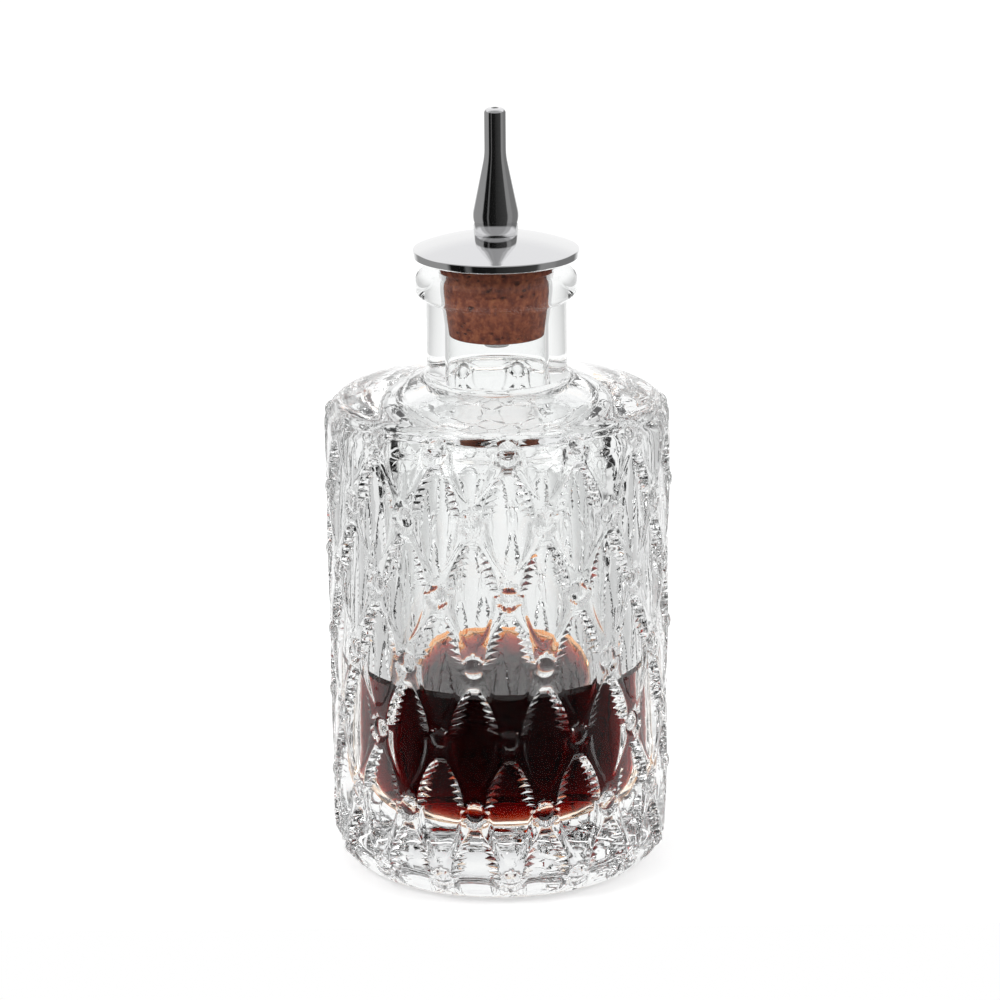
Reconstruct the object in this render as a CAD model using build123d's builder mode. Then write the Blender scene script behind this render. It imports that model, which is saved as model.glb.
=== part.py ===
from build123d import *
import math
import os

# Bitters bottle: a heavy pressed-glass bottle with a leaf lattice, and its steel dasher on a cork.
# Millimetres, +Z up. The origin is the centre of the foot, on the surface that the bottle stands on.

# Body of the bottle: the mould tapers a little from the shoulder down to the heel
body_radius_low = 36.0
body_flare = 0.8
corner_height = 102.6
corner_fillet = 6.0
heel_fillet = 9.6

# Cavity of the bottle: the glass is thick all round
side_wall = 14.3
shoulder_wall = 7.0
base_thickness = 13.4
cavity_floor_fillet = 8.0
cavity_corner_fillet = 6.0
bore_root_fillet = 4.0
cavity_corner_share = 0.6

# Recess under the base, which leaves a ring to stand on
foot_ring = 4.4
foot_recess_depth = 0.8
foot_recess_arc_share = 0.75

# Neck and lip
shoulder_rise = 4.8
neck_height = 23.0
neck_bore_radius = 10.45
neck_wall = 4.45
neck_root_fillet = 2.5
lip_reach = 2.2
lip_height = 5.9
lip_fillet = 2.1
lip_under_fillet = 0.7
mouth_fillet = 0.8

# Leaf lattice: staggered columns of pointed leaves, with a bead at each crossing
leaf_columns = 15
bead_rows = 7
first_bead_height = 5.8
last_bead_drop = 2.0
lattice_turn = 3.3
leaf_tip_gap = 4.3
leaf_depth = 0.95
leaf_tilt = 4.5
ridge_width = 1.9
bead_radius = 2.4
bead_proud = 0.55

# Bitters in the bottle
fill_height = 43.5

# Cork: a tapered plug that seats in the mouth
cork_length = 16.8
cork_lead = 0.45
cork_flare = 2.15
cork_edge_chamfer = 0.5
cork_clearance = 0.15

# Domed cap that covers the mouth
cap_over_lip = 2.7
cap_reach = 0.5
cap_edge = 1.75
cap_rise = 3.3
cap_edge_fillet = 0.4

# Steel stem through the cork, and the collar that holds the cork on it
stem_radius = 2.7
stem_bore_radius = 1.6
stem_clearance = 0.05
stem_into_cap = 2.2
stem_below_collar = 0.9
collar_radius = 3.6
collar_height = 1.5
collar_fillet = 0.4

# Pouring spout on the cap
spout_height = 26.9
spout_foot_radius = 4.6
spout_bulb_radius = 4.95
spout_bulb_height = 4.4
spout_bulb_fillet = 6.0
spout_neck_height = 16.8
spout_neck_fillet = 14.0
spout_tip_radius = 2.33
spout_tip_fillet = 0.5
spout_hole_radius = 0.75
spout_hole_length = 9.0
spout_wall = 1.1

# One length by which a cut runs past the surface that it opens
overrun = 2.0

# Radii and levels of the glass that follow from these sizes
body_radius_high = body_radius_low + body_flare
side_slope = body_flare / corner_height
foot_recess_radius = body_radius_low - heel_fillet - foot_ring
neck_radius = neck_bore_radius + neck_wall
neck_root_height = corner_height + shoulder_rise
lip_radius = neck_radius + lip_reach
mouth_height = neck_root_height + neck_height
shoulder_slope = shoulder_rise / (body_radius_high - neck_radius)
cavity_radius_low = body_radius_low - side_wall + side_slope * base_thickness
cavity_corner_height = corner_height - shoulder_wall
cavity_radius_high = cavity_radius_low + side_slope * (cavity_corner_height - base_thickness)
cavity_ledge = cavity_radius_high - neck_bore_radius
cavity_root_height = cavity_corner_height + shoulder_slope * cavity_ledge
fill_radius = cavity_radius_low + side_slope * (fill_height - base_thickness)

# The two fillets of the cavity's shoulder share the ledge between its side and the bore
cavity_corner_turn = min(cavity_corner_fillet, cavity_ledge * cavity_corner_share)
bore_root_turn = min(bore_root_fillet, cavity_ledge * (1 - cavity_corner_share))

# Pitch of the lattice, and a leaf that leaves the ridge's width to its neighbours halfway along
row_pitch = (corner_height - last_bead_drop - first_bead_height) / (bead_rows - 1)
column_pitch = math.pi * body_radius_low / leaf_columns
leaf_half_height = row_pitch - leaf_tip_gap
leaf_waist = (column_pitch - ridge_width) / 2
leaf_arc_offset = (leaf_half_height**2 - (row_pitch / 2) ** 2 - leaf_waist**2) / (2 * leaf_waist)
leaf_half_width = math.hypot(leaf_arc_offset, leaf_half_height) - leaf_arc_offset

# The dasher is built up from the mouth
cap_radius = lip_radius + cap_reach
cork_bottom_radius = neck_bore_radius - cork_lead
cork_top_radius = cork_bottom_radius + cork_flare
cap_bottom = mouth_height + cap_over_lip
cap_top = cap_bottom + cap_edge + cap_rise
cork_bottom = cap_bottom - cork_length
cork_taper = cork_flare / cork_length
mouth_radius = cork_bottom_radius + cork_taper * (mouth_height - cork_bottom) + cork_clearance
seat_bottom = cork_bottom + (neck_bore_radius - cork_clearance - cork_bottom_radius) / cork_taper
collar_bottom = cork_bottom - collar_height
stem_bottom = collar_bottom - stem_below_collar
stem_top = cap_bottom + stem_into_cap
stem_hole_radius = stem_radius + stem_clearance


def surface_radius(height, sink):
    """Radius, at a height, of the surface that lies this far under the skin of the body."""
    corner_turn = math.pi / 2 - math.atan(shoulder_slope)
    corner_start = corner_height - corner_fillet * math.tan(corner_turn / 2)
    if height < heel_fillet:
        rise, fillet_radius = heel_fillet - height, heel_fillet
    elif height > corner_start:
        rise, fillet_radius = height - corner_start, corner_fillet
    else:
        rise, fillet_radius = 0, 0
    side = body_radius_low + side_slope * height
    return side - fillet_radius + math.sqrt((fillet_radius - sink) ** 2 - rise**2) if rise else side - sink


def dome_height(radius):
    """Height of the domed top of the cap at a radius."""
    sphere = (cap_radius**2 + cap_rise**2) / (2 * cap_rise)
    return cap_top - sphere + math.sqrt(sphere**2 - radius**2)


spout_foot = dome_height(spout_foot_radius)
spout_tip = spout_foot + spout_height

# One pressed leaf, a pointed lens in outline, on a flat floor that leans in towards its upper point
with BuildPart() as leaf_recess:
    with BuildSketch(Plane.YZ):
        with BuildLine():
            ThreePointArc((0, -leaf_half_height), (leaf_half_width, 0), (0, leaf_half_height))
            ThreePointArc((0, leaf_half_height), (-leaf_half_width, 0), (0, -leaf_half_height))
        make_face()
    extrude(amount=leaf_depth + overrun)
tilted_leaf = leaf_recess.part.rotate(Axis.Y, -leaf_tilt)

# One bead of the lattice
with BuildPart() as lattice_bead:
    Sphere(bead_radius, rotation=(0, 90, 0))

# Glass bottle: the turned form with its cavity, then the pressed lattice
with BuildPart() as glass_bottle:
    with BuildSketch(Plane.XZ):
        with BuildLine():
            ThreePointArc(
                (0, foot_recess_depth),
                (foot_recess_radius / 2, foot_recess_depth * foot_recess_arc_share),
                (foot_recess_radius, 0),
            )
            FilletPolyline(
                (foot_recess_radius, 0),
                (body_radius_low, 0),
                (body_radius_high, corner_height),
                (neck_radius, neck_root_height),
                (neck_radius, mouth_height - lip_height),
                (lip_radius, mouth_height - lip_height),
                (lip_radius, mouth_height),
                (mouth_radius, mouth_height),
                (neck_bore_radius, seat_bottom),
                (neck_bore_radius, cavity_root_height),
                (cavity_radius_high, cavity_corner_height),
                (cavity_radius_low, base_thickness),
                (0, base_thickness),
                radius=[
                    heel_fillet,
                    corner_fillet,
                    neck_root_fillet,
                    lip_under_fillet,
                    lip_fillet,
                    lip_fillet,
                    mouth_fillet,
                    0,
                    bore_root_turn,
                    cavity_corner_turn,
                    cavity_floor_fillet,
                ],
            )
            Line((0, base_thickness), (0, foot_recess_depth))
        make_face()
    revolve(axis=Axis.Z)

    for row in range(bead_rows):
        height = first_bead_height + row_pitch * row
        bead_turn = lattice_turn - 90 + (row % 2) * 180 / leaf_columns
        leaf_turn = bead_turn + 180 / leaf_columns
        leaf_floor = body_radius_low + side_slope * height - leaf_depth
        with Locations((0, 0, height)):
            with PolarLocations(leaf_floor, leaf_columns, start_angle=leaf_turn):
                add(tilted_leaf, mode=Mode.SUBTRACT)
    for row in range(bead_rows):
        height = first_bead_height + row_pitch * row
        bead_turn = lattice_turn - 90 + (row % 2) * 180 / leaf_columns
        bead_place = surface_radius(height, bead_radius - bead_proud)
        with Locations((0, 0, height)):
            with PolarLocations(bead_place, leaf_columns, start_angle=bead_turn):
                add(lattice_bead.part)
glass_bottle.part.label = "glass_bottle"

# Bitters: they fill the cavity up to their flat surface
with BuildPart() as bitters:
    with BuildSketch(Plane.XZ):
        with BuildLine():
            FilletPolyline(
                (0, fill_height),
                (fill_radius, fill_height),
                (cavity_radius_low, base_thickness),
                (0, base_thickness),
                radius=[0, cavity_floor_fillet],
            )
            Line((0, base_thickness), (0, fill_height))
        make_face()
    revolve(axis=Axis.Z)
bitters.part.label = "bitters"

# Cork: turned to the taper of the mouth and bored for the stem
with BuildPart() as cork:
    with BuildSketch(Plane.XZ):
        with BuildLine():
            Polyline(
                (stem_hole_radius, cork_bottom),
                (cork_bottom_radius, cork_bottom),
                (cork_top_radius, cap_bottom),
                (stem_hole_radius, cap_bottom),
                close=True,
            )
        make_face()
    revolve(axis=Axis.Z)
    chamfer(cork.faces().sort_by(Axis.Z)[0].outer_wire().edges(), length=cork_edge_chamfer)
cork.part.label = "cork"

# Domed cap: a turned steel disc with a socket for the stem and a land for the spout
with BuildPart() as domed_cap:
    with BuildSketch(Plane.XZ):
        with BuildLine():
            middle_radius = (cap_radius + spout_foot_radius) / 2
            ThreePointArc(
                (cap_radius, cap_bottom + cap_edge),
                (middle_radius, dome_height(middle_radius)),
                (spout_foot_radius, spout_foot),
            )
            Polyline(
                (spout_foot_radius, spout_foot),
                (stem_bore_radius, spout_foot),
                (stem_bore_radius, stem_top),
                (stem_hole_radius, stem_top),
                (stem_hole_radius, cap_bottom),
                (cap_radius, cap_bottom),
                (cap_radius, cap_bottom + cap_edge),
            )
        make_face()
    revolve(axis=Axis.Z)
    rim_edges = domed_cap.edges().filter_by(GeomType.CIRCLE).sort_by(lambda edge: edge.radius)[-2:]
    fillet(rim_edges, radius=cap_edge_fillet)
domed_cap.part.label = "domed_cap"

# Stem tube: it carries the bitters from the bottle through the cork and into the cap
with BuildPart() as stem_tube:
    with BuildSketch(Plane.XY.offset(stem_bottom)):
        Circle(stem_radius)
        Circle(stem_bore_radius, mode=Mode.SUBTRACT)
    extrude(amount=stem_top - stem_bottom)
stem_tube.part.label = "stem_tube"

# Collar: pressed on the stem under the cork, which it holds against the cap
with BuildPart() as stem_collar:
    with BuildSketch(Plane.XY.offset(collar_bottom)):
        Circle(collar_radius)
        Circle(stem_hole_radius, mode=Mode.SUBTRACT)
    extrude(amount=collar_height)
    fillet(stem_collar.faces().sort_by(Axis.Z)[0].outer_wire().edges(), radius=collar_fillet)
stem_collar.part.label = "stem_collar"

# Spout: a turned steel nozzle, wide at its foot, with a small hole in its tip
with BuildPart() as spout:
    with BuildSketch(Plane.XZ):
        with BuildLine():
            FilletPolyline(
                (spout_foot_radius, spout_foot),
                (spout_bulb_radius, spout_foot + spout_bulb_height),
                (spout_tip_radius, spout_foot + spout_neck_height),
                (spout_tip_radius, spout_tip),
                (spout_hole_radius, spout_tip),
                radius=[spout_bulb_fillet, spout_neck_fillet, spout_tip_fillet],
            )
            Polyline(
                (spout_hole_radius, spout_tip),
                (spout_hole_radius, spout_tip - spout_hole_length),
                (spout_foot_radius - spout_wall, spout_foot + spout_bulb_height),
                (spout_foot_radius - spout_wall, spout_foot),
                (spout_foot_radius, spout_foot),
            )
        make_face()
    revolve(axis=Axis.Z)
spout.part.label = "spout"

os.makedirs("parts", exist_ok=True)
for piece in (glass_bottle, bitters, cork, domed_cap, stem_tube, stem_collar, spout):
    export_step(piece.part, f"parts/{piece.part.label}.step")
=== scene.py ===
import math

import bmesh
import bpy
from mathutils import Euler, Matrix, Vector


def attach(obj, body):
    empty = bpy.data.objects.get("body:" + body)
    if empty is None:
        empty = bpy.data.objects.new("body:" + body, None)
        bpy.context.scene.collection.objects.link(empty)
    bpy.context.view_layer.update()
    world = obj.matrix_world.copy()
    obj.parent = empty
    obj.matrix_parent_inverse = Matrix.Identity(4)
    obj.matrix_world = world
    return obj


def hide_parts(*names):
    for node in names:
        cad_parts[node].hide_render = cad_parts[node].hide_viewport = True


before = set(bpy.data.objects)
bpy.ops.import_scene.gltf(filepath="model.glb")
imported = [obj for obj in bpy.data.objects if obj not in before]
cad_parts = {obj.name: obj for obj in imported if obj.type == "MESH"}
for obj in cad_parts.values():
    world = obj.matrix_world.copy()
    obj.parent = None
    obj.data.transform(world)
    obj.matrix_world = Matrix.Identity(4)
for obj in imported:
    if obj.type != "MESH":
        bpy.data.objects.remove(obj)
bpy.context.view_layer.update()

MM = 0.001


# The studio: a camera with a long lens, a pale floor, two softboxes, and a bright room with dark
# flags that only polished steel and glass show. It is a stage and no part of the bottle.
camera_distance = 1.0
camera_elevation = math.radians(15.72)
camera_roll = math.radians(0.48)
aim_height = 79.8 * MM
focal_pixels = 4684
image_pixels = 1000
axis_pixel_offset = 1.9
sensor_width = 36.0

camera_data = bpy.data.cameras.new("photo_camera")
camera_data.sensor_width = sensor_width
camera_data.lens = focal_pixels / image_pixels * sensor_width
camera_data.shift_x = axis_pixel_offset / image_pixels
camera_data.clip_start = 0.01
camera = bpy.data.objects.new("photo_camera", camera_data)
camera.matrix_world = (
    Matrix.Translation(
        (
            0,
            -camera_distance * math.cos(camera_elevation),
            aim_height + camera_distance * math.sin(camera_elevation),
        )
    )
    @ Euler((math.pi / 2 - camera_elevation, 0, 0)).to_matrix().to_4x4()
    @ Matrix.Rotation(-camera_roll, 4, "Z")
)
bpy.context.scene.collection.objects.link(camera)
bpy.context.scene.camera = camera
bpy.context.scene.view_settings.view_transform = "Standard"


def wire(tree, node_type, links=(), **settings):
    """Adds a node, sets its properties, and feeds its sockets from values or other sockets."""
    node = tree.nodes.new(node_type)
    for key, value in settings.items():
        setattr(node, key, value)
    for socket, source in dict(links).items():
        if isinstance(source, bpy.types.NodeSocket):
            tree.links.new(source, node.inputs[socket])
        else:
            node.inputs[socket].default_value = source
    return node


def calculate(tree, operation, first, second=0.0, third=0.0, clamp=False):
    """A number worked out from up to three others."""
    node = wire(tree, "ShaderNodeMath", {0: first, 1: second, 2: third}, operation=operation)
    node.use_clamp = clamp
    return node.outputs[0]


def mix(tree, share, first, second):
    """The first colour, or the second one where the share is 1."""
    sockets = {0: share, 6: first, 7: second}
    return wire(tree, "ShaderNodeMix", sockets, data_type="RGBA").outputs[2]


def ramp(tree, source, stops):
    """A colour ramp with stops of (place, grey or colour)."""
    node = wire(tree, "ShaderNodeValToRGB", {0: source})
    points = node.color_ramp.elements
    while len(points) < len(stops):
        points.new(0.5)
    for point, (place, colour) in zip(points, stops):
        point.position = place
        grey = isinstance(colour, (int, float))
        point.color = (colour, colour, colour, 1) if grey else (*colour, 1)
    return node.outputs[0]


def seen_directly(tree):
    """Light Path, and 1 for the camera's own rays and those that steel and glass send on."""
    path = wire(tree, "ShaderNodeLightPath")
    total = calculate(tree, "ADD", path.outputs["Is Camera Ray"], path.outputs["Is Glossy Ray"])
    return path, calculate(tree, "ADD", total, path.outputs["Is Transmission Ray"], clamp=True)


# Round the room, places are shares of the turn from the front over the left (0.25) and the
# back (0.5). Steel mirrors the (place, brightness) pairs, and glass shows the dark flags, each
# from its start to its end.
room_light = 0.75
steel_flags = (
    (0.0, 0.01), (0.09, 0.004), (0.1, 0.1), (0.115, 0.12), (0.125, 0.004), (0.18, 0.006),
    (0.2, 0.3), (0.38, 0.3), (0.43, 1.0), (0.57, 1.0), (0.62, 0.2), (0.74, 0.2),
    (0.76, 0.26), (0.82, 0.26), (0.84, 0.05), (1.0, 0.02),
)
dark_flags = (
    (0.035, 0.095), (0.155, 0.215), (0.285, 0.355), (0.645, 0.715), (0.785, 0.845), (0.905, 0.965),
)
flag_edge = 0.01
ceiling_colour = (0.9, 0.9, 0.91, 1)
table_colour = (0.85, 0.85, 0.85, 1)
white = (1, 1, 1, 1)
glass_flags = [(0.0, 1.0)]
for start, end in dark_flags:
    glass_flags += [(start - flag_edge, 1.0), (start, 0.0), (end, 0.0), (end + flag_edge, 1.0)]
glass_flags.append((1.0, 1.0))
world = bpy.data.worlds.new("studio_room")
bpy.context.scene.world = world
world.use_nodes = True
room = world.node_tree
room.nodes.clear()
way = wire(room, "ShaderNodeTexCoord").outputs["Generated"]
way = wire(room, "ShaderNodeSeparateXYZ", {0: way})
turn = calculate(room, "ARCTAN2", way.outputs[0], way.outputs[1])
turn = calculate(room, "MULTIPLY_ADD", turn, 0.5 / math.pi, 0.5)
overhead = ramp(room, way.outputs[2], ((0.3, 0.0), (0.5, 1.0)))
behind = ramp(room, way.outputs[1], ((0.0, 0.4), (0.15, 1.0)))
overhead = calculate(room, "MULTIPLY", overhead, behind)
below = calculate(room, "MULTIPLY", way.outputs[2], -1.0)
below = ramp(room, below, ((0.12, 0.0), (0.2, 1.0)))
path, direct = seen_directly(room)
through = mix(room, below, ramp(room, turn, glass_flags), table_colour)
flags = mix(room, path.outputs["Is Transmission Ray"], ramp(room, turn, steel_flags), through)
shown = mix(room, overhead, flags, ceiling_colour)
shown = mix(room, path.outputs["Is Camera Ray"], shown, white)
shown = mix(room, direct, (room_light, room_light, room_light, 1), shown)
background = wire(room, "ShaderNodeBackground", {0: shown, 1: 1.0})
wire(room, "ShaderNodeOutputWorld", {0: background.outputs[0]})

floor_half_width = 0.24
floor_length = 1.7
floor_front = 0.045
floor_colour = (0.82, 0.82, 0.82, 1)
floor_glow = 0.42
# Seen through glass, the floor is brightest along its middle, and more so under the bottle
floor_strip = ((0.0, 1.0), (0.15, 0.97), (0.45, 0.66), (1.0, 0.62))
light_plate = 0.036
plate_gain = 0.3
floor_mesh = bpy.data.meshes.new("studio_floor")
shape = bmesh.new()
bmesh.ops.create_grid(shape, x_segments=1, y_segments=1, size=1)
bmesh.ops.scale(shape, vec=(floor_half_width, floor_length / 2, 1), verts=shape.verts)
bmesh.ops.translate(shape, vec=(0, floor_length / 2 - floor_front, 0), verts=shape.verts)
shape.to_mesh(floor_mesh)
shape.free()
floor = bpy.data.objects.new("studio_floor", floor_mesh)
bpy.context.scene.collection.objects.link(floor)
paper = bpy.data.materials.new("white_paper_floor")
paper.use_nodes = True
tree = paper.node_tree
tree.nodes.clear()
path, direct = seen_directly(tree)
glow = calculate(tree, "MULTIPLY", direct, floor_glow)
glow = wire(tree, "ShaderNodeEmission", {0: white, 1: glow})
matt = wire(tree, "ShaderNodeBsdfDiffuse", {0: floor_colour})
lit = wire(tree, "ShaderNodeAddShader", {0: glow.outputs[0], 1: matt.outputs[0]})
floor_place = wire(tree, "ShaderNodeTexCoord").outputs["Object"]
across = wire(tree, "ShaderNodeSeparateXYZ", {0: floor_place}).outputs[0]
across = calculate(tree, "ABSOLUTE", calculate(tree, "DIVIDE", across, floor_half_width))
from_axis = wire(tree, "ShaderNodeVectorMath", {0: floor_place}, operation="LENGTH")
on_plate = calculate(tree, "LESS_THAN", from_axis.outputs["Value"], light_plate)
gain = calculate(tree, "MULTIPLY_ADD", on_plate, plate_gain, 1.0)
through_glass = wire(tree, "ShaderNodeEmission", {0: ramp(tree, across, floor_strip), 1: gain})
look = wire(
    tree,
    "ShaderNodeMixShader",
    {0: path.outputs["Is Transmission Ray"], 1: lit.outputs[0], 2: through_glass.outputs[0]},
)
wire(tree, "ShaderNodeOutputMaterial", {0: look.outputs[0]})
floor_mesh.materials.append(paper)


def softbox(name, place, aim, size, power):
    """A square lamp that polished steel doesn't mirror."""
    data = bpy.data.lights.new(name, "AREA")
    data.size = size
    data.energy = power
    lamp = bpy.data.objects.new(name, data)
    lamp.matrix_world = Matrix.Translation(place) @ (
        (Vector(aim) - Vector(place)).to_track_quat("-Z", "Y").to_matrix().to_4x4()
    )
    lamp.visible_glossy = False
    bpy.context.scene.collection.objects.link(lamp)


softbox("left_softbox", (-0.8, -0.6, 0.8), (0, 0, 0.08), size=0.6, power=6.0)
softbox("right_softbox", (0.9, -0.4, 0.7), (0, 0, 0.08), size=0.5, power=4.0)


# Glass bottle: one piece of heavy clear glass, pressed in a mould and fire polished. A lattice of
# shallow pointed leaves covers its body, toothed along their upper edges, with a bead at each
# crossing of the ridges between them.
body_radius_high = 36.8
body_radius_low = 36.0
corner_height = 102.6
corner_fillet = 6.0
heel_fillet = 9.6
side_wall = 14.3
shoulder_wall = 7.0
base_thickness = 13.4
cavity_floor_fillet = 8.0
cavity_corner_fillet = 6.0
bore_root_fillet = 4.0
foot_recess_radius = 22.0
foot_recess_depth = 0.8
neck_radius = 14.9
neck_root_height = 107.4
neck_root_fillet = 2.5
neck_bore_radius = 10.45
lip_radius = 17.1
lip_height = 5.9
lip_fillet = 2.1
lip_under_fillet = 0.7
mouth_height = 130.4
mouth_fillet = 0.8
mouth_radius = 11.95
seat_bottom = 118.64

leaf_columns = 15
bead_rows = 7
row_pitch = 15.8
first_bead_height = 5.8
lattice_turn = math.radians(3.3)
leaf_half_width = 4.25
leaf_half_height = 11.5
leaf_depth = 0.95
leaf_tilt = math.radians(4.5)
leaf_opening = 0.9
bead_reach = 2.2
bead_radius = 2.75
bead_sink = 2.25
bead_snap = 0.35
bead_refine = 2.5
teeth_per_pitch = 11
upper_flank = 1.05
lower_flank = 0.7
tooth_reach = 1.6
tooth_share = 0.45
cells_per_half = 12
leaf_cells = 6
foot_cell = 3
brow_cell = 4
lattice_below = 6.2
lattice_above = 2.9
fade_below = 3.0
fade_above = 2.2
plain_rows = 6
lift_off = 0.001
least_row_gap = 0.3
straight_neck_gap = 6.0
neck_glass_gap = 0.5

fill_height = 43.5
meniscus = 0.9

side_slope = (body_radius_high - body_radius_low) / corner_height
shoulder_slope = (neck_root_height - corner_height) / (body_radius_high - neck_radius)
cavity_radius_low = body_radius_low - side_wall + side_slope * base_thickness
cavity_corner_height = corner_height - shoulder_wall
cavity_radius_high = cavity_radius_low + side_slope * (cavity_corner_height - base_thickness)
cavity_root_height = cavity_corner_height + shoulder_slope * (cavity_radius_high - neck_bore_radius)


def rounded(points, radii, arc_step=math.radians(9)):
    """The outline through these corners, each turned on its radius, as (radius, height) pairs."""
    outline = [Vector(points[0])]
    for before, corner, after, radius in zip(points, points[1:], points[2:], radii):
        corner = Vector(corner)
        inward = (Vector(before) - corner).normalized()
        onward = (Vector(after) - corner).normalized()
        half = inward.angle(onward) / 2
        if not radius:
            outline.append(corner)
            continue
        start = corner + inward * radius / math.tan(half)
        end = corner + onward * radius / math.tan(half)
        centre = corner + (inward + onward).normalized() * radius / math.sin(half)
        sweep = (start - centre).angle_signed(end - centre)
        steps = max(2, round(abs(sweep) / arc_step))
        for step in range(steps + 1):
            spoke = start - centre
            spoke.rotate(Matrix.Rotation(-sweep * step / steps, 2))
            outline.append(centre + spoke)
    return outline + [Vector(points[-1])]


def smooth_step(value, low, high):
    """A soft rise from 0 at the low value to 1 at the high one."""
    share = min(max((value - low) / (high - low), 0.0), 1.0)
    return share * share * (3 - 2 * share)


class Outline:
    """A finely divided outline that gives the place and the outward normal at a length along it."""

    def __init__(self, points):
        self.points = points
        self.lengths = [0.0]
        for first, second in zip(points, points[1:]):
            self.lengths.append(self.lengths[-1] + (second - first).length)

    def at(self, length):
        """The point at this length, and the normal there."""
        place = max(1, sum(1 for value in self.lengths[:-1] if value <= length))
        place = min(place, len(self.points) - 1)
        first, second = self.points[place - 1], self.points[place]
        share = (length - self.lengths[place - 1]) / (self.lengths[place] - self.lengths[place - 1])
        along = (second - first).normalized()
        return first.lerp(second, share), Vector((along.y, -along.x))

    def length_at_height(self, height):
        """The length at which the outline first rises through this height."""
        for first, second, length in zip(self.points, self.points[1:], self.lengths):
            if first.y <= height <= second.y and second.y > first.y:
                return length + (second - first).length * (height - first.y) / (second.y - first.y)


body = Outline(
    rounded(
        (
            (foot_recess_radius, 0),
            (body_radius_low, 0),
            (body_radius_high, corner_height),
            (neck_radius, neck_root_height),
            (neck_radius, mouth_height - lip_height),
        ),
        (heel_fillet, corner_fillet, neck_root_fillet),
        arc_step=math.radians(1.5),
    )
)
second_bead = body.length_at_height(first_bead_height + row_pitch)


def bead_length(row):
    """How far along the body's outline a row of beads lies."""
    return second_bead + (row - 1) * row_pitch


tooth_step = row_pitch / teeth_per_pitch / 2
pattern_low = bead_length(0) - lattice_below
pattern_high = bead_length(bead_rows - 1) + lattice_above
half_pitch = math.pi * body_radius_low / leaf_columns
leaf_arc = (leaf_half_height**2 + leaf_half_width**2) / (2 * leaf_half_width)


def leaf_width(distance):
    """Half the width of a pointed leaf at a distance from its middle, up or down."""
    if distance >= leaf_half_height:
        return 0.0
    return math.sqrt(leaf_arc**2 - distance**2) - (leaf_arc - leaf_half_width)


def nearest_bead(length, first):
    """Signed height above the nearest bead of every second row, counted from this row."""
    rows_here = range(first, bead_rows + 2, 2)
    return min((length - bead_length(row) for row in rows_here), key=abs)


def above_leaf(length, first):
    """Signed height above the middle of a column's nearest leaf, which lie on every second row."""
    rows_here = range(first - 2, bead_rows + 3, 2)
    return min((length - bead_length(row) for row in rows_here), key=abs)


def lattice(length, cell, tooth):
    """Where the pressed surface lies, for a cell counted from an even column's middle.

    Gives the place across the pitch, the lift above the ridges, the slide along the outline
    and, above a leaf's middle, the cell's number from the leaf.
    """
    even_side = cell <= leaf_cells
    own_cell = cell if even_side else cells_per_half - cell
    own_height, other_height = above_leaf(length, 1), above_leaf(length, 0)
    if not even_side:
        own_height, other_height = other_height, own_height
    width, other_width = leaf_width(abs(own_height)), leaf_width(abs(other_height))
    ridge = half_pitch - width - other_width
    squeeze = min(1.0, ridge / (upper_flank + lower_flank))
    brow = width + squeeze * (upper_flank if own_height > 0 else lower_flank)
    crest = (ridge - squeeze * (upper_flank + lower_flank)) / 2
    opened = smooth_step(width, 0.0, leaf_opening)
    # Along half a pitch lie the leaf's floor, the foot of its flank, its brow and the crest
    if own_height > 0:
        foot = width - tooth * min(tooth_reach, width * tooth_share)
        stations = (0, foot * 0.5, foot * 0.9, foot, brow, brow + crest / 2, brow + crest)
        falls = (1, 1, 1, 1, 0, 0, 0)
    else:
        stations = (0, width * 0.5, width * 0.9, width, (width + brow) / 2, brow, brow + crest)
        falls = (1, 1, 1, 1, 0.4, 0, 0)
    reach = brow + crest
    across = stations[own_cell] * opened + reach * own_cell / leaf_cells * (1 - opened)
    depth = leaf_depth + math.tan(leaf_tilt) * own_height
    bulge = body_radius_low * (1 / math.cos(across / body_radius_low) - 1)
    lift = -max(depth - bulge, 0) * falls[own_cell] * opened
    from_even = across if even_side else half_pitch - across
    slide = 0.0
    for column_place, first_row in ((0, 0), (half_pitch, 1)):
        sideways, upward = from_even - column_place, nearest_bead(length, first_row)
        gap = math.hypot(sideways, upward)
        # Points near the rim of a bead move onto it, so that its circle is crisp
        if gap < bead_reach + bead_snap:
            if gap > bead_reach - bead_snap:
                slide = upward * (bead_reach / gap - 1)
                from_even = column_place + sideways * bead_reach / gap
                gap = bead_reach
            lift = math.sqrt(bead_radius**2 - gap**2) - bead_sink
    strength = smooth_step(length, pattern_low, pattern_low + fade_below) * (
        1 - smooth_step(length, pattern_high - fade_above, pattern_high)
    )
    flank = own_cell if own_height > 0 and opened > 0 else 0
    return from_even, lift * strength, slide * strength, flank


# The rows of the outer surface: the foot, plain rows below the lattice, two rows to a tooth in
# it, finer at the beads, and then the rest of the outline, the lip and the cavity
foot_points = (
    (0, foot_recess_depth),
    (foot_recess_radius / 2, foot_recess_depth * 0.75),
    (foot_recess_radius, 0),
    (foot_recess_radius + 1, 0),
)
rows = [(Vector(point), None) for point in foot_points]
lengths = []
lowest_tooth = math.floor((pattern_low - second_bead) / tooth_step)
highest_tooth = math.ceil((pattern_high - second_bead) / tooth_step)
for index in range(lowest_tooth, highest_tooth + 1):
    length = second_bead + (index + 0.5) * tooth_step
    lengths.append((length, index % 2))
    near = min(abs(nearest_bead(length + tooth_step / 2, first_row)) for first_row in (0, 1))
    if near < bead_refine:
        lengths.append((length + tooth_step / 2, 0.5))
heel_start = body.length_at_height(lift_off)
first_length = lengths[0][0]
for step in range(1, plain_rows):
    share = step / plain_rows
    length = heel_start * (1 - share) + first_length * share
    rows.append((body.at(length)[0], None))
rows += [(body.at(length)[0], (length, tooth)) for length, tooth in lengths]
neck_start = neck_root_height + straight_neck_gap
last_length = lengths[-1][0]
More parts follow.
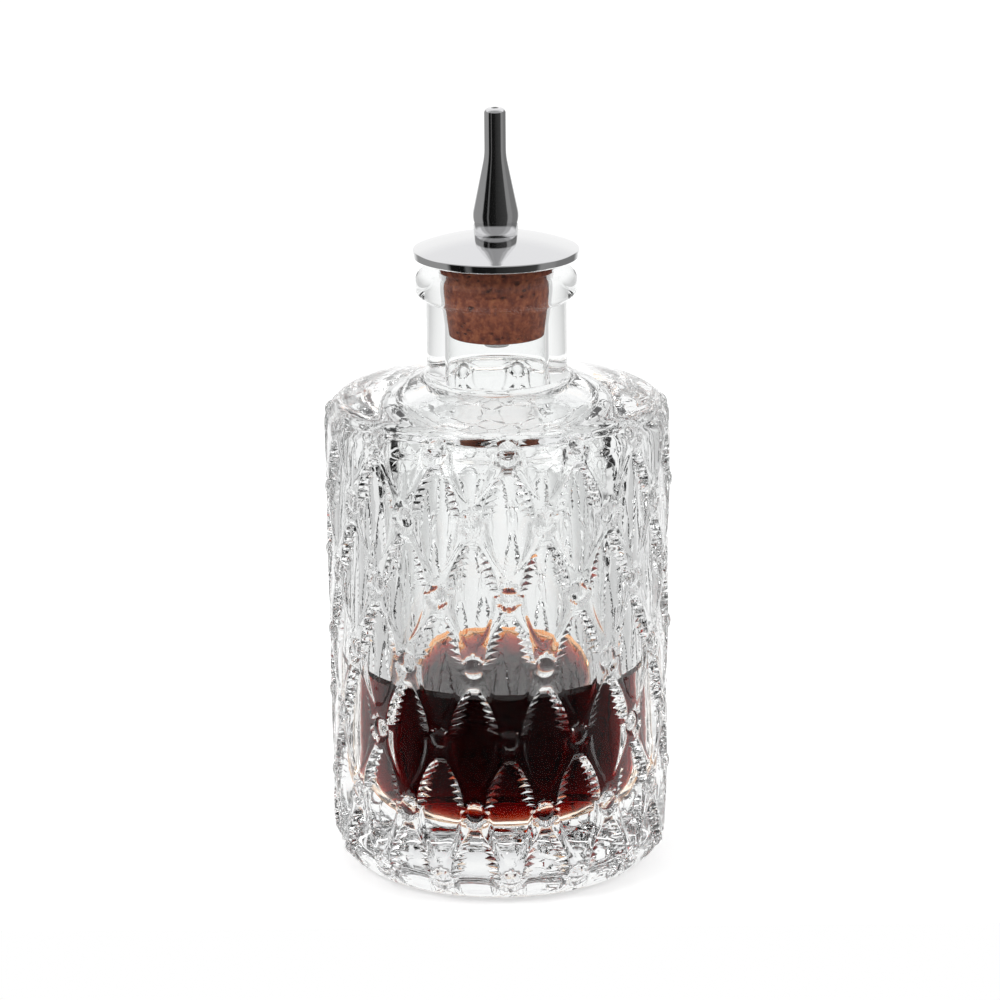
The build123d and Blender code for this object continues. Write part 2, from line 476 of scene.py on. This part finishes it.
outer_rest = [
    point
    for point, length in zip(body.points, body.lengths)
    if length > last_length + least_row_gap and point.y < neck_start
]
rows += [(point, None) for point in outer_rest[::4]]
neck_and_lip = rounded(
    (
        (neck_radius, neck_start),
        (neck_radius, mouth_height - lip_height),
        (lip_radius, mouth_height - lip_height),
        (lip_radius, mouth_height),
        (mouth_radius, mouth_height),
        (neck_bore_radius, seat_bottom),
        (neck_bore_radius, cavity_root_height),
        (cavity_radius_high, cavity_corner_height),
        (cavity_radius_low, base_thickness),
        (0, base_thickness),
    ),
    (
        lip_under_fillet,
        lip_fillet,
        lip_fillet,
        mouth_fillet,
        0,
        bore_root_fillet,
        cavity_corner_fillet,
        cavity_floor_fillet,
    ),
    arc_step=math.radians(18),
)
# One more row where the glass behind the bitters ends
wet_line = fill_height + meniscus
for first, second in zip(neck_and_lip, neck_and_lip[1:]):
    if first.y > wet_line > second.y:
        share = (first.y - wet_line) / (first.y - second.y)
        neck_and_lip.insert(neck_and_lip.index(second), first.lerp(second, share))
        break
rows += [(point, None) for point in neck_and_lip]


def new_piece(name, shape, materials, body_name):
    """Makes the object of a finished mesh, in metres, and puts it on its CAD body."""
    mesh = bpy.data.meshes.new(name)
    bmesh.ops.scale(shape, vec=(MM, MM, MM), verts=shape.verts)
    shape.to_mesh(mesh)
    shape.free()
    for material in materials:
        mesh.materials.append(material)
    piece = bpy.data.objects.new(name, mesh)
    bpy.context.scene.collection.objects.link(piece)
    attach(piece, body_name)
    return piece


def turn_outline(points, segments, start=0.0):
    """Spins an outline of (radius, height) pairs into a closed turned form, rows numbered."""
    shape = bmesh.new()
    row_number = shape.verts.layers.int.new("row")
    spokes = []
    for number, point in enumerate(points):
        vert = shape.verts.new((point[0] * math.cos(start), point[0] * math.sin(start), point[1]))
        vert[row_number] = number
        spokes.append(vert)
    edges = [shape.edges.new(pair) for pair in zip(spokes, spokes[1:])]
    bmesh.ops.spin(
        shape,
        geom=spokes + edges,
        cent=(0, 0, 0),
        axis=(0, 0, 1),
        dvec=(0, 0, 0),
        angle=2 * math.pi,
        steps=segments,
        use_merge=True,
        use_duplicate=False,
    )
    bmesh.ops.remove_doubles(shape, verts=shape.verts, dist=1e-4)
    bmesh.ops.recalc_face_normals(shape, faces=shape.faces)
    for face in shape.faces:
        face.smooth = True
    return shape, row_number


columns = leaf_columns * 2 * cells_per_half
first_angle = lattice_turn - math.pi / 2
pitch_angle = 2 * math.pi / leaf_columns
shape, row_number = turn_outline([point for point, _ in rows], columns, first_angle)
flank_cell = shape.verts.layers.int.new("flank")
places = {}
for number, (point, pattern) in enumerate(rows):
    if pattern:
        for cell in range(cells_per_half + 1):
            places[number, cell] = lattice(pattern[0], cell, pattern[1])
# Each point of the turned body moves to its place in the lattice, whose half pitches mirror
for vert in shape.verts:
    point, pattern = rows[vert[row_number]]
    if not pattern:
        continue
    angle = math.atan2(vert.co.y, vert.co.x) - first_angle
    column = round(angle / (2 * math.pi) * columns) % columns
    sector, cell = divmod(column, 2 * cells_per_half)
    mirrored_cell = min(cell, 2 * cells_per_half - cell)
    across, lift, slide, vert[flank_cell] = places[vert[row_number], mirrored_cell]
    angle = across / half_pitch * pitch_angle / 2
    if cell > cells_per_half:
        angle = pitch_angle - angle
    angle += first_angle + sector * pitch_angle
    point, normal = body.at(pattern[0] + slide)
    radius = point.x + normal.x * lift
    vert.co = (radius * math.cos(angle), radius * math.sin(angle), point.y + normal.y * lift)
# The toothed flanks stay flat-faced, so that they glint, and two zones get glass of their own
wet_slot, neck_slot = 1, 2
for face in shape.faces:
    low_row = min(vert[row_number] for vert in face.verts)
    high_row = max(vert[row_number] for vert in face.verts)
    if rows[low_row][1] and rows[high_row][1]:
        cells = [vert[flank_cell] for vert in face.verts]
        if min(cells) == foot_cell and max(cells) == brow_cell:
            face.smooth = False
    middle = sum((vert.co for vert in face.verts), Vector()) / len(face.verts)
    inside = low_row > len(rows) - len(neck_and_lip)
    if inside and middle.z < wet_line and middle.xy.length < cavity_radius_high + 1:
        face.material_index = wet_slot
    if middle.z > neck_root_height + neck_glass_gap:
        face.material_index = neck_slot


def plain_material(name):
    """A new material, its empty node tree, and the place on the piece."""
    material = bpy.data.materials.new(name)
    material.use_nodes = True
    tree = material.node_tree
    tree.nodes.clear()
    place = wire(tree, "ShaderNodeTexCoord").outputs["Object"]
    return material, tree, place


def surface_bump(tree, height, strength, distance):
    """The normal of a surface with a relief too fine for the mesh."""
    sockets = {"Strength": strength, "Distance": distance, "Height": height}
    return wire(tree, "ShaderNodeBump", sockets).outputs[0]


def pressed_glass(name, ior, coat=0.0):
    """Clear glass with the faint ripple of mould and fire, coated on its outer side if need be."""
    material, tree, place = plain_material(name)
    ripple = wire(tree, "ShaderNodeTexNoise", {"Vector": place, "Scale": 160.0, "Detail": 2.0})
    sockets = {
        "Base Color": (0.985, 0.995, 0.992, 1),
        "Roughness": 0.0,
        "IOR": ior,
        "Transmission Weight": 1.0,
        "Normal": surface_bump(tree, ripple.outputs[0], strength=0.25, distance=0.0004),
    }
    if coat:
        inside = wire(tree, "ShaderNodeNewGeometry").outputs["Backfacing"]
        sockets["Coat Weight"] = calculate(tree, "MULTIPLY_ADD", inside, -coat, coat)
        sockets["Coat Roughness"] = 0.0
    glass = wire(tree, "ShaderNodeBsdfPrincipled", sockets)
    wire(tree, "ShaderNodeOutputMaterial", {0: glass.outputs[0]})
    return material


# The neck hardly magnifies the cork in it, so its glass bends light little and shines by a coat
glass_ior = 1.51
bitters_ior = 1.36
neck_ior = 1.05
clear_glass = pressed_glass("clear_glass", glass_ior)
wet_glass = pressed_glass("glass_behind_bitters", glass_ior / bitters_ior)
neck_glass = pressed_glass("neck_glass", neck_ior, coat=0.6)
glasses = (clear_glass, wet_glass, neck_glass)
glass_bottle = new_piece("pressed_glass_bottle", shape, glasses, "bottle")
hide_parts("glass_bottle")


# Bitters: a dark red-brown liquid, amber where it is thin. It wets the glass, so that no air
# shows between the two, and climbs it a little at the rim of its surface.
skin = 0.02
fill_radius = cavity_radius_low + side_slope * (fill_height - base_thickness) + skin
meniscus_reach = 2.0
meniscus_steps = 8
surface_band = 0.3
amber = (0.857, 0.486, 0.086, 1)
outline = [Vector((0, fill_height))]
for step in range(meniscus_steps):
    share = step / meniscus_steps
    radius = fill_radius - meniscus_reach * (1 - share)
    outline.append(Vector((radius, fill_height + meniscus * share**3)))
outline += rounded(
    (
        (fill_radius, fill_height + meniscus),
        (cavity_radius_low + skin, base_thickness - skin),
        (0, base_thickness - skin),
    ),
    (cavity_floor_fillet,),
)
shape, _ = turn_outline(outline, segments=128)

bitters_material, tree, place = plain_material("bitters")
# Light bends at the liquid's top here, and at its sides by the ratio of the glass behind it
height = wire(tree, "ShaderNodeSeparateXYZ", {0: place}).outputs[2]
on_top = calculate(tree, "GREATER_THAN", height, (fill_height - surface_band) * MM)
surface_ior = calculate(tree, "MULTIPLY_ADD", on_top, bitters_ior - 1, 1.0)
liquid = wire(
    tree,
    "ShaderNodeBsdfPrincipled",
    {"Base Color": white, "Roughness": 0.0, "IOR": surface_ior, "Transmission Weight": 1.0},
)
depth = wire(tree, "ShaderNodeVolumeAbsorption", {"Color": amber, "Density": 850.0})
wire(tree, "ShaderNodeOutputMaterial", {0: liquid.outputs[0], 1: depth.outputs[0]})
bitters = new_piece("dark_bitters", shape, (bitters_material,), "bottle")
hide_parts("bitters")


# Cork: a plug of natural cork, turned to the taper of the mouth and bored for the stem. Its
# side shows fine grain and small dark pits.
cork_length = 16.8
cork_bottom_radius = 10.0
cork_top_radius = 12.15
cork_edge = 0.5
dark_grain = (0.085, 0.02, 0.013)
brown_grain = (0.21, 0.054, 0.026)
light_grain = (0.36, 0.115, 0.05)
pit_colour = (0.07, 0.02, 0.012, 1)
cap_bottom = 133.1
stem_hole_radius = 2.75
cork_bottom = cap_bottom - cork_length
outline = rounded(
    (
        (stem_hole_radius, cap_bottom),
        (stem_hole_radius, cork_bottom),
        (cork_bottom_radius, cork_bottom),
        (cork_top_radius, cap_bottom),
        (stem_hole_radius, cap_bottom),
    ),
    (0, cork_edge, 0),
    arc_step=math.radians(20),
)
shape, _ = turn_outline(outline, segments=128)

cork_material, tree, place = plain_material("natural_cork")
grain = wire(
    tree,
    "ShaderNodeTexNoise",
    {"Vector": place, "Scale": 700.0, "Detail": 6.0, "Roughness": 0.7},
)
patches = wire(tree, "ShaderNodeTexNoise", {"Vector": place, "Scale": 220.0, "Detail": 3.0})
stretch = wire(tree, "ShaderNodeMapping", {0: place, 3: (1.0, 1.0, 1.8)})
pits = wire(tree, "ShaderNodeTexVoronoi", {"Vector": stretch.outputs[0], "Scale": 420.0})
pit_mask = ramp(tree, pits.outputs["Distance"], ((0.2, 1.0), (0.3, 0.0)))
fewer = ramp(tree, patches.outputs[0], ((0.52, 0.0), (0.56, 1.0)))
pit_mask = calculate(tree, "MULTIPLY", pit_mask, fewer)
grain_colours = ((0.32, dark_grain), (0.5, brown_grain), (0.66, light_grain))
base = ramp(tree, grain.outputs[0], grain_colours)
relief = calculate(tree, "SUBTRACT", grain.outputs[0], pit_mask)
cork_look = wire(
    tree,
    "ShaderNodeBsdfPrincipled",
    {
        "Base Color": mix(tree, pit_mask, base, pit_colour),
        "Roughness": 0.75,
        "Normal": surface_bump(tree, relief, strength=0.6, distance=0.0003),
    },
)
wire(tree, "ShaderNodeOutputMaterial", {0: cork_look.outputs[0]})
cork = new_piece("natural_cork", shape, (cork_material,), "stopper")
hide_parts("cork")


# Domed cap: a turned and polished stainless disc that covers the mouth and carries the spout
# on a small land at its middle.
cap_radius = 17.6
cap_edge = 1.75
cap_rise = 3.3
cap_edge_fillet = 0.4
stem_bore_radius = 1.6
stem_into_cap = 2.2
spout_foot_radius = 4.6
dome_steps = 14
dome_radius = (cap_radius**2 + cap_rise**2) / (2 * cap_rise)
cap_top = cap_bottom + cap_edge + cap_rise


def dome_height(radius):
    """The height of the cap's top at this distance from its axis."""
    return cap_top - dome_radius + math.sqrt(dome_radius**2 - radius**2)


spout_foot = dome_height(spout_foot_radius)
dome = []
for step in range(dome_steps + 1):
    radius = cap_radius - (cap_radius - spout_foot_radius) * step / dome_steps
    dome.append((radius, dome_height(radius)))
stem_top = cap_bottom + stem_into_cap
outline = rounded(
    [(stem_bore_radius, spout_foot), (stem_bore_radius, stem_top), (stem_hole_radius, stem_top)]
    + [(stem_hole_radius, cap_bottom), (cap_radius, cap_bottom)]
    + dome
    + [(stem_bore_radius, spout_foot)],
    [0, 0, 0, cap_edge_fillet, cap_edge_fillet] + [0] * dome_steps,
    arc_step=math.radians(15),
)
shape, _ = turn_outline(outline, segments=160)


def polished_steel(name, grey, roughness, wear=0.06):
    """Turned stainless steel, with the faint rings of the polishing wheel."""
    material, tree, place = plain_material(name)
    rings = wire(tree, "ShaderNodeTexNoise", {"Vector": place, "Scale": 1400.0, "Detail": 3.0})
    smear = wire(tree, "ShaderNodeTexNoise", {"Vector": place, "Scale": 60.0, "Detail": 2.0})
    worn = calculate(tree, "MULTIPLY_ADD", smear.outputs[0], wear, roughness - wear / 2)
    steel = wire(
        tree,
        "ShaderNodeBsdfPrincipled",
        {
            "Base Color": (*grey, 1),
            "Metallic": 1.0,
            "Roughness": worn,
            "Normal": surface_bump(tree, rings.outputs[0], strength=0.05, distance=0.00005),
        },
    )
    wire(tree, "ShaderNodeOutputMaterial", {0: steel.outputs[0]})
    return material


steel = polished_steel("polished_steel", grey=(0.84, 0.84, 0.845), roughness=0.07)
domed_cap = new_piece("polished_domed_cap", shape, (steel,), "stopper")
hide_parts("domed_cap")


# Stem tube: a steel tube that carries the bitters through the cork and into the cap. Its end
# shows under the cork.
stem_radius = 2.7
collar_height = 1.5
stem_below_collar = 0.9
stem_end_fillet = 0.25
collar_bottom = cork_bottom - collar_height
stem_bottom = collar_bottom - stem_below_collar
outline = rounded(
    (
        (stem_bore_radius, stem_top),
        (stem_bore_radius, stem_bottom),
        (stem_radius, stem_bottom),
        (stem_radius, stem_top),
        (stem_bore_radius, stem_top),
    ),
    (stem_end_fillet, stem_end_fillet, 0),
    arc_step=math.radians(20),
)
shape, _ = turn_outline(outline, segments=64)
stem_steel = polished_steel("stem_steel", grey=(0.5, 0.5, 0.5), roughness=0.25)
stem_tube = new_piece("dasher_stem_tube", shape, (stem_steel,), "stopper")
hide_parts("stem_tube")


# Stem collar: a turned steel ring, pressed on the stem tube right under the cork, which it
# holds against the cap.
collar_radius = 3.6
collar_fillet = 0.4
outline = rounded(
    (
        (stem_hole_radius, cork_bottom),
        (stem_hole_radius, collar_bottom),
        (collar_radius, collar_bottom),
        (collar_radius, cork_bottom),
        (stem_hole_radius, cork_bottom),
    ),
    (0, collar_fillet, 0),
    arc_step=math.radians(20),
)
shape, _ = turn_outline(outline, segments=64)
stem_collar = new_piece("pressed_stem_collar", shape, (stem_steel,), "stopper")
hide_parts("stem_collar")


# Spout: a turned and polished nozzle, wide at its foot and drawn in to a plain tube, with a
# small hole in its rounded tip.
spout_height = 26.9
spout_bulb_radius = 4.95
spout_bulb_height = 4.4
spout_bulb_fillet = 6.0
spout_neck_height = 16.8
spout_neck_fillet = 14.0
spout_tip_radius = 2.33
spout_tip_fillet = 1.1
spout_hole_radius = 0.75
spout_hole_length = 9.0
spout_hole_fillet = 0.15
spout_wall = 1.1
spout_tip = spout_foot + spout_height
spout_bore_radius = spout_foot_radius - spout_wall
outline = rounded(
    (
        (spout_bore_radius, spout_foot),
        (spout_foot_radius, spout_foot),
        (spout_bulb_radius, spout_foot + spout_bulb_height),
        (spout_tip_radius, spout_foot + spout_neck_height),
        (spout_tip_radius, spout_tip),
        (spout_hole_radius, spout_tip),
        (spout_hole_radius, spout_tip - spout_hole_length),
        (spout_bore_radius, spout_foot + spout_bulb_height),
        (spout_bore_radius, spout_foot),
    ),
    (0, spout_bulb_fillet, spout_neck_fillet, spout_tip_fillet, spout_hole_fillet, 0, 0),
    arc_step=math.radians(2.5),
)
shape, _ = turn_outline(outline, segments=96)
spout = new_piece("polished_spout", shape, (steel,), "stopper")
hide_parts("spout")
